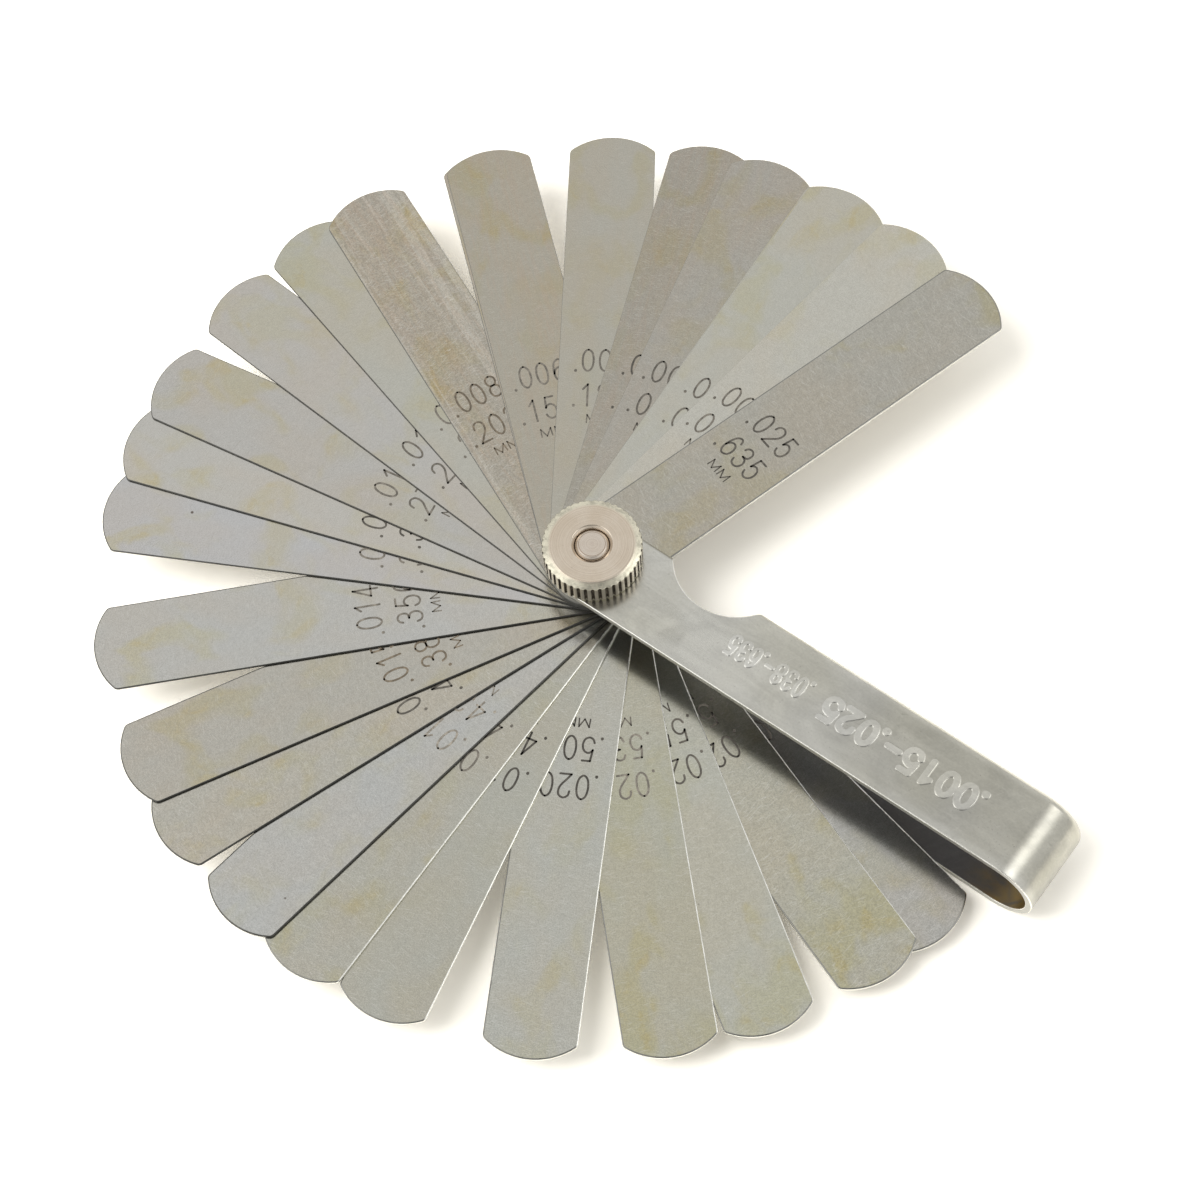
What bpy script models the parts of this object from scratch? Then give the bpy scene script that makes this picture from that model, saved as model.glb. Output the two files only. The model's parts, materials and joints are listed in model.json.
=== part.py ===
"""A feeler gauge: 26 steel leaves fanned out on one screw, in a folded strip of steel.

Metres, +Z up. The origin lies on the pivot axis, on the underside of the screw's head, and
+X runs along the case from the pivot to its fold. Every leaf turns about the Z axis, and
lies in the case when it points along +X. A knurled nut on the screw locks the leaves.
"""

import math

import bmesh
import bpy
from mathutils import Matrix

MM = 0.001
INCH = 25.4 * MM

# Each leaf, from the top of the stack down: its thickness in inches, and the direction in
# which it is fanned out, in degrees anticlockwise from the case as seen from above.
LEAVES = (
    (0.0250, 72.9), (0.0015, 83.1), (0.0020, 93.4), (0.0025, 93.6), (0.0030, 103.7),
    (0.0040, 111.4), (0.0050, 123.9), (0.0060, 139.6), (0.0070, 140.0), (0.0080, 155.9),
    (0.0090, 164.4), (0.0100, 176.1), (0.0110, 189.3), (0.0120, 197.9), (0.0130, 207.3),
    (0.0140, 225.3), (0.0150, 240.5), (0.0160, 249.7), (0.0170, 261.8), (0.0180, 271.1),
    (0.0190, 281.8), (0.0200, 299.0), (0.0210, 314.6), (0.0220, 325.9), (0.0230, 339.7),
    (0.0240, 347.7),
)

GAP = 0.02 * MM  # between faces that lie on each other
HOLE_R = 2.5 * MM  # round holes that turn on the shank
CUT_PAST = 1.0 * MM  # how far a cutter runs past what it cuts

LEAF_WIDTH = 12.7 * MM
LEAF_REACH = 70.6 * MM  # pivot to the point of the tip
LEAF_TIP_R = 9.43 * MM
LEAF_CORNER_R = 0.9 * MM

HEAD_R = 5.5 * MM
HEAD_HEIGHT = 1.5 * MM
HEAD_CHAMFER = 0.35 * MM
NECK_SIDE = 4.9 * MM  # the square neck that keeps the screw from turning in the case
SHANK_R = 2.4 * MM
SHANK_END_R = 1.85 * MM
SHANK_END_CHAMFER = 0.45 * MM

CASE_THICKNESS = 1.0 * MM
CASE_WIDTH = 13.0 * MM
CASE_FOLD_X = 70.65 * MM  # the fold's centre
CASE_FOLD_R = 5.05 * MM  # inside radius: more than the stack needs, so the lower plate slopes
CASE_BEND_X = 9.0 * MM  # where the lower plate starts to slope towards the fold
CASE_SQUARE_SIDE = NECK_SIDE + 0.2 * MM
NOTCH_CENTRE = (16.6 * MM, 11.15 * MM)  # the thumb notch, through both plates
NOTCH_R = 8.85 * MM

NUT_R = 6.95 * MM
NUT_HEIGHT = 3.9 * MM
NUT_GROOVES = 44  # the straight knurl
NUT_GROOVE_DEPTH = 0.4 * MM
NUT_LAND_SHARE = 0.5  # of the knurl's pitch
NUT_FLAT_R = 6.0 * MM  # the flat top, inside the chamfer
NUT_CHAMFER_DROP = 0.4 * MM
NUT_FOOT_CHAMFER = 0.25 * MM
NUT_SINK_R = 2.9 * MM  # the countersink around the end of the screw
NUT_SINK_DEPTH = 0.4 * MM
SHANK_BELOW_NUT_TOP = 0.05 * MM

# Heights along the pivot, from the bottom up.
LOWER_PLATE_Z = HEAD_HEIGHT
STACK_Z = LOWER_PLATE_Z + CASE_THICKNESS
STACK_HEIGHT = sum(inches for inches, _ in LEAVES) * INCH + (len(LEAVES) + 1) * GAP
UPPER_PLATE_Z = STACK_Z + STACK_HEIGHT
NUT_Z = UPPER_PLATE_Z + CASE_THICKNESS + GAP
NUT_TOP_Z = NUT_Z + NUT_HEIGHT


def arc(centre, radius, start, end, steps):
    """Points on a circle from one angle to another, in degrees, both ends included."""
    angles = [math.radians(start + (end - start) * i / steps) for i in range(steps + 1)]
    return [(centre[0] + radius * math.cos(a), centre[1] + radius * math.sin(a)) for a in angles]


def new_collection(name, hidden=False):
    collection = bpy.data.collections.new(name)
    collection.hide_render = hidden
    bpy.context.scene.collection.children.link(collection)
    return collection


def material(name, colour, roughness):
    made = bpy.data.materials.new(name)
    made.use_nodes = True
    shader = made.node_tree.nodes["Principled BSDF"]
    shader.inputs["Base Color"].default_value = (*colour, 1.0)
    shader.inputs["Roughness"].default_value = roughness
    shader.inputs["Metallic"].default_value = 1.0
    return made


def baked(source, collection):
    """A mesh object in the collection, in place of the source and its modifiers."""
    bpy.context.view_layer.update()
    graph = bpy.context.evaluated_depsgraph_get()
    mesh = bpy.data.meshes.new_from_object(source.evaluated_get(graph))
    mesh.transform(source.matrix_world)
    bm = bmesh.new()
    bm.from_mesh(mesh)
    bmesh.ops.remove_doubles(bm, verts=bm.verts, dist=0.001 * MM)
    bmesh.ops.recalc_face_normals(bm, faces=bm.faces)
    bm.to_mesh(mesh)
    bm.free()
    name = source.name
    bpy.data.objects.remove(source)
    made = bpy.data.objects.new(name, mesh)
    collection.objects.link(made)
    return made


def prism(name, outlines, low, high, collection, turn=None):
    """Flat outlines, the later ones as holes, drawn out from low to high along Z."""
    curve = bpy.data.curves.new(name, "CURVE")
    curve.dimensions = "2D"
    curve.fill_mode = "BOTH"
    curve.extrude = (high - low) / 2
    for outline in outlines:
        spline = curve.splines.new("POLY")
        spline.points.add(len(outline) - 1)
        spline.use_cyclic_u = True
        for point, (x, y) in zip(spline.points, outline):
            point.co = (x, y, 0.0, 1.0)
    source = bpy.data.objects.new(name, curve)
    collection.objects.link(source)
    source.matrix_world = (turn or Matrix()) @ Matrix.Translation((0, 0, (low + high) / 2))
    return baked(source, collection)


def turned(name, profile, steps, collection):
    """A solid of revolution about Z, from a profile of (radius, height), top to bottom."""
    mesh = bpy.data.meshes.new(name)
    mesh.from_pydata([(r, 0, z) for r, z in profile], [(i, i + 1) for i in range(len(profile) - 1)], [])
    source = bpy.data.objects.new(name, mesh)
    collection.objects.link(source)
    screw = source.modifiers.new("turn", "SCREW")
    screw.steps = screw.render_steps = steps
    screw.use_merge_vertices = True
    screw.merge_threshold = 0.001 * MM
    return baked(source, collection)


def cut(target, operation, tool):
    boolean = target.modifiers.new(operation.lower() + " " + tool.name, "BOOLEAN")
    boolean.operation = operation
    boolean.solver = "EXACT"
    boolean.object = tool
    tool.hide_render = True
    tool.display_type = "WIRE"


def finish(obj, look):
    obj.data.materials.clear()
    obj.data.materials.append(look)
    obj.data.shade_smooth()
    obj.data.set_sharp_from_angle(angle=math.radians(30))


def leaf_outline():
    """A leaf that points along +X: a round tail, straight sides and a bowed tip."""
    half = LEAF_WIDTH / 2
    tip = (LEAF_REACH - LEAF_TIP_R, 0.0)
    corner_y = half - LEAF_CORNER_R
    corner_x = tip[0] + math.sqrt((LEAF_TIP_R - LEAF_CORNER_R) ** 2 - corner_y**2)
    turn = math.degrees(math.atan2(corner_y, corner_x - tip[0]))
    return (
        arc((0, 0), half, 90, 270, 20)
        + arc((corner_x, -corner_y), LEAF_CORNER_R, -90, -turn, 3)
        + arc(tip, LEAF_TIP_R, -turn, turn, 12)[1:-1]
        + arc((corner_x, corner_y), LEAF_CORNER_R, turn, 90, 3)
    )


def build_leaves(collection, look):
    outlines = (leaf_outline(), arc((0, 0), HOLE_R, 0, 345, 23))
    top = UPPER_PLATE_Z - GAP
    for inches, fanned in LEAVES:
        thickness = inches * INCH
        name = f"leaf_{round(inches * 10000):04d}"
        leaf = prism(name, outlines, -thickness / 2, thickness / 2, collection)
        leaf.location.z = top - thickness / 2
        leaf.rotation_euler.z = math.radians(fanned)
        finish(leaf, look)
        top -= thickness + GAP


def case_profile():
    """The folded strip from its side: x along the case, y its height."""
    centre = (CASE_FOLD_X, UPPER_PLATE_Z - CASE_FOLD_R)
    rise, run = centre[1] - STACK_Z, centre[0] - CASE_BEND_X
    slope = math.asin(CASE_FOLD_R / math.hypot(rise, run)) - math.atan2(rise, run)
    low_turn = -90 - math.degrees(slope)
    end = -CASE_WIDTH / 2 - CUT_PAST
    bend_outside = CASE_BEND_X - CASE_THICKNESS * math.tan(slope / 2)
    return (
        [(end, UPPER_PLATE_Z + CASE_THICKNESS)]
        + arc(centre, CASE_FOLD_R + CASE_THICKNESS, 90, low_turn, 24)
        + [(bend_outside, LOWER_PLATE_Z), (end, LOWER_PLATE_Z), (end, STACK_Z), (CASE_BEND_X, STACK_Z)]
        + arc(centre, CASE_FOLD_R, low_turn, 90, 24)
        + [(end, UPPER_PLATE_Z)]
    )


def case_plan():
    """The strip from above: a round pivot end, and a thumb notch in the +Y edge."""
    half = CASE_WIDTH / 2
    far = CASE_FOLD_X + CASE_FOLD_R + CASE_THICKNESS + CUT_PAST
    reach = math.degrees(math.asin((NOTCH_CENTRE[1] - half) / NOTCH_R))
    return (
        arc((0, 0), half, 90, 270, 20)
        + [(far, -half), (far, half)]
        + arc(NOTCH_CENTRE, NOTCH_R, -reach, reach - 180, 16)
    )


def build_case(collection, tools, look):
    half = CASE_WIDTH / 2 + CUT_PAST
    case = prism("case", (case_profile(),), -half, half, collection, Matrix.Rotation(math.pi / 2, 4, "X"))
    low, high = -CUT_PAST, UPPER_PLATE_Z + CASE_THICKNESS + CUT_PAST
    cut(case, "INTERSECT", prism("case_plan", (case_plan(),), low, high, tools))
    round_hole = arc((0, 0), HOLE_R, 0, 345, 23)
    cut(case, "DIFFERENCE", prism("round_hole", (round_hole,), UPPER_PLATE_Z - CUT_PAST, high, tools))
    side = CASE_SQUARE_SIDE / 2
    square = ((-side, -side), (side, -side), (side, side), (-side, side))
    cut(case, "DIFFERENCE", prism("square_hole", (square,), low, STACK_Z + CUT_PAST, tools))
    finish(case, look)


def build_screw(collection, tools, look):
    end = NUT_TOP_Z - SHANK_BELOW_NUT_TOP
    head_top = HEAD_HEIGHT - GAP
    profile = (
        (0, end), (SHANK_END_R, end), (SHANK_R, end - SHANK_END_CHAMFER), (SHANK_R, head_top),
        (HEAD_R, head_top), (HEAD_R, HEAD_CHAMFER), (HEAD_R - HEAD_CHAMFER, 0), (0, 0),
    )
    screw = turned("pivot_screw", profile, 32, collection)
    side = NECK_SIDE / 2
    square = ((-side, -side), (side, -side), (side, side), (-side, side))
    cut(screw, "UNION", prism("square_neck", (square,), HEAD_HEIGHT / 2, STACK_Z - GAP, tools))
    finish(screw, look)


def nut_outline():
    pitch = 360 / NUT_GROOVES
    land = pitch * NUT_LAND_SHARE
    floor = NUT_R - NUT_GROOVE_DEPTH
    points = []
    for start in (groove * pitch for groove in range(NUT_GROOVES)):
        points += arc((0, 0), NUT_R, start, start + land, 1)
        points += arc((0, 0), floor, start + (land + pitch) / 2, start + pitch, 1)[:1]
    return points


def build_nut(collection, tools, look):
    nut = prism("lock_nut", (nut_outline(),), NUT_Z, NUT_TOP_Z, collection)
    above, below = NUT_TOP_Z + CUT_PAST, NUT_Z - CUT_PAST
    fall = NUT_CHAMFER_DROP / (NUT_R - NUT_FLAT_R)
    wide = NUT_R + CUT_PAST
    chamfers = (
        (0, NUT_TOP_Z + fall * CUT_PAST), (NUT_FLAT_R - CUT_PAST, NUT_TOP_Z + fall * CUT_PAST),
        (wide, NUT_TOP_Z - fall * (wide - NUT_FLAT_R)), (wide, NUT_Z + NUT_FOOT_CHAMFER + CUT_PAST),
        (NUT_R - NUT_FOOT_CHAMFER - CUT_PAST, below), (0, below),
    )
    cut(nut, "INTERSECT", turned("nut_chamfers", chamfers, 72, tools))
    flare = (NUT_SINK_R - HOLE_R) / NUT_SINK_DEPTH
    bore = (
        (0, above), (NUT_SINK_R + flare * CUT_PAST, above), (HOLE_R, NUT_TOP_Z - NUT_SINK_DEPTH),
        (HOLE_R, below), (0, below),
    )
    cut(nut, "DIFFERENCE", turned("nut_bore", bore, 32, tools))
    finish(nut, look)


def main():
    for obj in list(bpy.data.objects):
        bpy.data.objects.remove(obj)
    gauge = new_collection("feeler_gauge")
    tools = new_collection("cutters", hidden=True)
    steel = material("leaf_steel", (0.60, 0.60, 0.57), 0.35)
    build_case(gauge, tools, material("case_steel", (0.62, 0.62, 0.60), 0.3))
    build_screw(gauge, tools, material("screw_steel", (0.58, 0.57, 0.54), 0.35))
    build_leaves(gauge, steel)
    build_nut(gauge, tools, material("nut_nickel", (0.72, 0.66, 0.60), 0.25))


main()
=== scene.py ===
"""The looks of the feeler gauge: finer pieces, materials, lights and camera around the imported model.

Metres, +Z up, in the frame of the CAD: the pivot is the Z axis and the case lies along +X.
"""

import json
import math

import bmesh
import bpy
import numpy as np
from mathutils import Matrix, Vector

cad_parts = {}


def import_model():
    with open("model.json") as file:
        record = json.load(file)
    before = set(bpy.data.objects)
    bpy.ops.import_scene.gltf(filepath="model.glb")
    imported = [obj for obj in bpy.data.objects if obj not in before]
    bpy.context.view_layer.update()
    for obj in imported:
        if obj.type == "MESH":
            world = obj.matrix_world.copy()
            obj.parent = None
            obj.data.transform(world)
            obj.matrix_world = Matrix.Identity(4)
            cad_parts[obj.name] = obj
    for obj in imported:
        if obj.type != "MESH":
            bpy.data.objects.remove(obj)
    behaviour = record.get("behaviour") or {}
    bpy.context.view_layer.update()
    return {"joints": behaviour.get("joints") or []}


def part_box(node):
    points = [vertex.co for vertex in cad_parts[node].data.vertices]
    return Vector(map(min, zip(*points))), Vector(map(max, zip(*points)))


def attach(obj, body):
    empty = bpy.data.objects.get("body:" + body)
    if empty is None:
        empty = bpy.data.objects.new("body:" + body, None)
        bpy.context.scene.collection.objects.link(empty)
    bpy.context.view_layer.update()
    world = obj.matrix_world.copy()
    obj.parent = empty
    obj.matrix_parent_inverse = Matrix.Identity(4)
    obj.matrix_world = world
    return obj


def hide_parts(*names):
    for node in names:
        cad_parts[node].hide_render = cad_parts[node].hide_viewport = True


MM = 0.001

# How each leaf looks, by the CAD node's name, from the top of the stack down: its level and its
# red and blue against green, how stained and how speckled it is, how bright its cut edge and its
# figures are, and how far its figures are moved, in millimetres outwards and to the left. The
# order is also that of the seeds of their stains. Most of these values were fitted by scratch
# scripts and then rounded by another, so the table isn't one chosen by hand.
# Painted light in this table: a leaf's level is partly its own tone and partly painted reflection, the
# brightness its tilt gives it baked in. Its edge brightness is painted light: low values paint shade
# along the edges of the middle leaves of the stack, and high values paint highlights, most on the
# thickest leaves.
LEAVES = {
    "leaf_0250": (0.41, 1.04, 0.87, 1.1, 0.040, 0.80, 0.07, -0.1, -0.1),
    "leaf_0015": (0.52, 1.03, 0.88, 0.6, 0.030, 0.70, 0.11, 0.3, 0.8),
    "leaf_0020": (0.49, 1.02, 0.88, 0.9, 0.020, 0.60, 0.10, -0.6, -0.6),
    "leaf_0025": (0.49, 1.03, 0.88, 0.9, 0.025, 0.60, 0.10, 0, 0),
    "leaf_0030": (0.39, 1.05, 0.88, 0.8, 0.035, 0.60, 0.08, -0.4, 0.5),
    "leaf_0040": (0.36, 1.07, 0.85, 0.8, 0.040, 0.60, 0.06, 0, -0.5),
    "leaf_0050": (0.43, 1.04, 0.86, 0.7, 0.020, 0.60, 0.11, 0.5, -0.3),
    "leaf_0060": (0.40, 1.07, 0.83, 0.9, 0.025, 0.50, 0.12, -0.5, 0.2),
    "leaf_0070": (0.43, 1.07, 0.85, 0.9, 0.025, 0.40, 0.11, 0, 0),
    "leaf_0080": (0.39, 1.08, 0.84, 2.0, 0.065, 0.30, 0.10, 0.3, 0.8),
    "leaf_0090": (0.48, 1.02, 0.88, 0.8, 0.020, 0.20, 0.15, 0.6, -0.7),
    "leaf_0100": (0.49, 1.03, 0.93, 0.8, 0.020, 0.15, 0.10, 0.1, -0.3),
    "leaf_0110": (0.48, 1.03, 0.93, 1.1, 0.025, 0.12, 0.11, 0.2, -0.5),
    "leaf_0120": (0.51, 1.03, 0.92, 0.9, 0.025, 0.12, 0.07, 0, -0.1),
    "leaf_0130": (0.51, 1.01, 0.98, 1.2, 0.025, 0.10, 0.14, -0.6, -0.6),
    "leaf_0140": (0.50, 1.01, 0.94, 1.0, 0.030, 0.08, 0.13, 0.2, 0.1),
    "leaf_0150": (0.45, 1.04, 0.88, 0.9, 0.035, 0.08, 0.12, -0.6, 0.2),
    "leaf_0160": (0.46, 1.04, 0.87, 1.0, 0.045, 0.08, 0.08, 0.4, 0),
    "leaf_0170": (0.49, 1.00, 0.95, 0.6, 0.040, 0.10, 0.20, 0, 0.5),
    "leaf_0180": (0.45, 1.02, 0.87, 0.8, 0.045, 0.90, 0.12, 0.7, -0.5),
    "leaf_0190": (0.45, 1.01, 0.87, 0.2, 0.040, 0.90, 0.05, 0.6, -0.3),
    "leaf_0200": (0.48, 1.00, 0.90, 0.6, 0.045, 0.90, 0.05, -0.3, -0.2),
    "leaf_0210": (0.46, 1.02, 0.82, 1.0, 0.040, 0.90, 0.15, -0.2, -0.6),
    "leaf_0220": (0.49, 1.01, 0.86, 0.9, 0.040, 0.90, 0.09, -0.7, 0.7),
    "leaf_0230": (0.46, 1.03, 0.83, 1.3, 0.055, 0.90, 0.07, -0.6, -0.9),
    "leaf_0240": (0.46, 1.02, 0.92, 0.6, 0.050, 0.90, 0.07, 0.2, -0.4),
}

BROWNED_FIGURES = ("leaf_0080", "leaf_0150")

LEAF_WIDTH = 12.7 * MM
LEAF_REACH = 70.6 * MM  # pivot to the point of the tip
LEAF_TIP_R = 9.43 * MM
LEAF_CORNER_R = 0.9 * MM
LEAF_RIM = (0.18 * MM, 0.08 * MM)  # the width and the depth of the rounding, where it is thick enough
HOLE_R = 2.5 * MM
HOLE_CHAMFER = 0.15 * MM  # the nut's, at its foot
ETCH_HEIGHT = 0.005 * MM  # what an etched figure stands proud of its leaf
ETCH_SINK = 0.01 * MM

CASE_THICKNESS = 1.0 * MM
CASE_WIDTH = 13.0 * MM
CASE_FOLD_X = 70.65 * MM  # the fold's centre
CASE_FOLD_R = 5.05 * MM  # inside
CASE_FOLD_CUTS = 60
CASE_BEND_X = 9.0 * MM  # where the lower plate starts to slope
CASE_SQUARE_SIDE = 5.1 * MM
CASE_ROLL_R = 1.25 * MM  # of the long edge at +Y
CASE_ROLL_CUTS = 9
CASE_ROLL_STEP = 9  # degrees from one cut to the next
CASE_INNER_RIM = (0.12 * MM, 0.10 * MM)
CASE_OUTER_RIM = (0.14 * MM, 0.10 * MM)
NOTCH_CENTRE = (16.6 * MM, 11.15 * MM)
NOTCH_R = 8.85 * MM
STACK_Z = 2.5 * MM  # the foot of the stack of leaves

HEAD_R = 5.5 * MM
HEAD_TOP = 1.48 * MM
HEAD_CHAMFER = 0.35 * MM
NECK_SIDE = 4.9 * MM
NECK_FOOT = 0.75 * MM
SHANK_R = 2.4 * MM
SHANK_END_R = 2.0 * MM
SHANK_END_CHAMFER = 0.42 * MM

NUT_R = 6.95 * MM
NUT_GROOVES = 44
NUT_GROOVE_DEPTH = 0.32 * MM
NUT_GROOVE_HALF = 0.24  # of the knurl's pitch
NUT_LAND_CROWN = 0.03 * MM
NUT_STEPS = 12  # along one pitch of the knurl
NUT_FLAT_R = 5.85 * MM
NUT_FLAT_BLEND = 0.12 * MM  # to either side of it, where it turns into the chamfer
NUT_CHAMFER_DROP = 0.4 * MM
NUT_CREST = 0.10 * MM
NUT_FOOT_CHAMFER = 0.25 * MM
NUT_SINK_R = 2.9 * MM
NUT_SINK_DEPTH = 0.4 * MM

# Solved by a scratch script from the corners of the leaves' tips.
CAMERA_PLACE = (0.13027, -0.14846, 0.40868)
CAMERA_TURN = (25.5969, 2.3716, 36.2222)  # degrees, XYZ Euler
CAMERA_LENS = 95.778

SKY_LEVEL = 0.90
SKY_COLOUR = (1.0, 0.992, 0.975, 1)
LAMP_COLOUR = (1.0, 0.985, 0.96)
FLOOR_Z = -0.02 * MM

FLUSH = 1e-9  # metres within which two heights are the same
CUT_REACH = 1e-8  # metres within which a cut takes a corner as lying on it

# A single-stroke figure font, one unit wide and one unit high. A stroke of two points is
# straight, and a longer one is a smooth curve through its points.
SIX = (
    (0.93, 0.82), (0.80, 0.96), (0.55, 1.00), (0.20, 0.86), (0.02, 0.50), (0.07, 0.18),
    (0.28, 0.03), (0.52, 0.00), (0.86, 0.09), (1.00, 0.32), (0.86, 0.55), (0.54, 0.63),
    (0.20, 0.55), (0.03, 0.36),
)
STROKES = {
    "0": (((0.5, 1), (0.13, 0.85), (0, 0.5), (0.13, 0.15), (0.5, 0), (0.87, 0.15), (1, 0.5),
           (0.87, 0.85), (0.5, 1)),),
    "1": (((0.62, 1), (0.62, 0)), ((0.62, 1), (0.2, 0.77))),
    "2": (((0.02, 0.72), (0.12, 0.9), (0.5, 1), (0.88, 0.91), (0.98, 0.73), (0.84, 0.5),
           (0.4, 0.24), (0, 0)), ((0, 0), (1, 0))),
    "3": (((0.05, 0.8), (0.18, 0.94), (0.5, 1), (0.82, 0.93), (0.93, 0.77), (0.82, 0.6),
           (0.42, 0.54)), ((0.42, 0.54), (0.85, 0.47), (1, 0.27), (0.85, 0.07), (0.5, 0),
           (0.15, 0.06), (0, 0.22))),
    "4": (((0.7, 1), (0, 0.28)), ((0, 0.28), (1, 0.28)), ((0.7, 1), (0.7, 0))),
    "5": (((0.9, 1), (0.2, 1)), ((0.2, 1), (0.08, 0.52)), ((0.08, 0.52), (0.25, 0.62),
           (0.52, 0.66), (0.86, 0.56), (1, 0.33), (0.86, 0.1), (0.5, 0), (0.15, 0.07),
           (0, 0.22))),
    "6": (SIX,),
    "7": (((0, 1), (1, 1)), ((1, 1), (0.6, 0.5), (0.4, 0))),
    "8": (((0.5, 1), (0.15, 0.92), (0.06, 0.77), (0.18, 0.6), (0.5, 0.54), (0.82, 0.6),
           (0.94, 0.77), (0.85, 0.92), (0.5, 1)), ((0.5, 0.54), (0.12, 0.46), (0, 0.27),
           (0.12, 0.08), (0.5, 0), (0.88, 0.08), (1, 0.27), (0.88, 0.46), (0.5, 0.54))),
    "9": (tuple((1 - x, 1 - y) for x, y in SIX),),
    "M": (((0, 0), (0.04, 1)), ((0.04, 1), (0.5, 0.02)), ((0.5, 0.02), (0.96, 1)),
          ((0.96, 1), (1, 0))),
    "-": (((0.05, 0.46), (0.95, 0.46)),),
    ".": (((0.5, 0.0), (0.5, 0.02)),),
}


# ---------------------------------------------------------------- meshes


def arc(centre, radius, start, end, steps):
    """Points on a circle from one angle to another, in degrees, both ends included."""
    angles = [math.radians(start + (end - start) * i / steps) for i in range(steps + 1)]
    return [(centre[0] + radius * math.cos(a), centre[1] + radius * math.sin(a)) for a in angles]


def cut_across(bm, point, normal):
    """Edges added to the whole bmesh where this plane crosses it."""
    everything = list(bm.verts) + list(bm.edges) + list(bm.faces)
    bmesh.ops.bisect_plane(bm, geom=everything, dist=CUT_REACH, plane_co=point, plane_no=normal)


def inset(loop, distance):
    """The closed loop moved to its left by a distance, which is into the material."""
    moved = []
    for i, here in enumerate(loop):
        before, after = loop[i - 1], loop[(i + 1) % len(loop)]
        a = Vector((here[0] - before[0], here[1] - before[1])).normalized()
        b = Vector((after[0] - here[0], after[1] - here[1])).normalized()
        reach = distance / max(0.3, 1 + a.dot(b))
        moved.append((here[0] - (a.y + b.y) * reach, here[1] + (a.x + b.x) * reach))
    return moved


def slab(loops, low, high, under, over, steps, hold):
    """A flat plate with rounded rims as a bmesh. The first loop is its outline,
    anticlockwise, and the later ones are holes, clockwise. Under and over are the width and
    the depth of its rounded rims, and hold is the width of the flat band inside them, which
    keeps their shading even. Its upright sides get material 1, and the rims material 2."""
    bm = bmesh.new()
    turns = [math.pi / 2 * i / steps for i in range(steps + 1)]
    levels = [(under[0] + hold, low)]
    levels += [(under[0] * (1 - math.sin(t)), low + under[1] * (1 - math.cos(t))) for t in turns]
    levels += [(over[0] * (1 - math.cos(t)), high - over[1] * (1 - math.sin(t))) for t in turns]
    levels += [(over[0] + hold, high)]
    for loop in loops:
        rings = [[bm.verts.new((*p, z)) for p in inset(loop, d)] for d, z in levels]
        for k, (ring, above) in enumerate(zip(rings, rings[1:])):
            for i in range(len(loop)):
                j = (i + 1) % len(loop)
                face = bm.faces.new((ring[i], ring[j], above[j], above[i]))
                if 0 < k < len(rings) - 2:
                    face.material_index = 1 if k == steps + 1 else 2
    for z in (low, high):
        rim = [e for e in bm.edges
               if len(e.link_faces) == 1 and all(abs(v.co.z - z) < FLUSH for v in e.verts)]
        bmesh.ops.triangle_fill(bm, use_beauty=True, edges=rim)
    bmesh.ops.recalc_face_normals(bm, faces=bm.faces)
    return bm


def lathe(bm, profile, steps):
    """A closed solid of revolution about Z, from (radius, height) points, both ends on the axis."""
    rings = []
    for radius, z in profile:
        if radius == 0:
            rings.append([bm.verts.new((0, 0, z))] * steps)
        else:
            rings.append([bm.verts.new((*p, z)) for p in arc((0, 0), radius, 0, 360, steps)[:-1]])
    for ring, above in zip(rings, rings[1:]):
        for i in range(steps):
            j = (i + 1) % steps
            bm.faces.new(list(dict.fromkeys((ring[i], ring[j], above[j], above[i]))))


def rounded(profile, corner_r, steps):
    """The (radius, height) profile with its inner corners rounded."""
    out = [profile[0]]
    for before, here, after in zip(profile, profile[1:], profile[2:]):
        p, a, b = Vector(here), Vector(before), Vector(after)
        reach = min(corner_r, (p - a).length * 0.45, (p - b).length * 0.45)
        start, end = p + (a - p).normalized() * reach, p + (b - p).normalized() * reach
        for i in range(steps + 1):
            t = i / steps
            out.append(tuple((1 - t) ** 2 * start + 2 * t * (1 - t) * p + t * t * end))
    return out + [profile[-1]]


def sampled(stroke, per_span):
    """The stroke as close points: straight between two, else a Catmull-Rom curve."""
    if len(stroke) == 2:
        return [Vector(p) for p in stroke]
    closed = stroke[0] == stroke[-1]
    points = [Vector(p) for p in stroke]
    first = points[-2] if closed else 2 * points[0] - points[1]
    last = points[1] if closed else 2 * points[-1] - points[-2]
    points = [first, *points, last]
    out = []
    for a, b, c, d in zip(points, points[1:], points[2:], points[3:]):
        for i in range(per_span):
            t = i / per_span
            out.append(0.5 * (2 * b + (c - a) * t + (2 * a - 5 * b + 4 * c - d) * t * t
                              + (3 * b - a - 3 * c + d) * t ** 3))
    return out + [points[-2]]


def lettering(text, width, height, advance, per_span):
    """The strokes of a line of text as lists of points, from its left end along its foot.
    A point takes the room of its own dot only."""
    lines, at = [], 0.0
    for mark in text:
        step = advance if mark != "." else advance * 0.42
        left = at + (step - width) / 2
        for stroke in STROKES[mark]:
            points = [Vector((left + p.x * width, p.y * height)) for p in sampled(stroke, per_span)]
            lines.append((mark, points))
        at += step
    return lines, at


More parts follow.
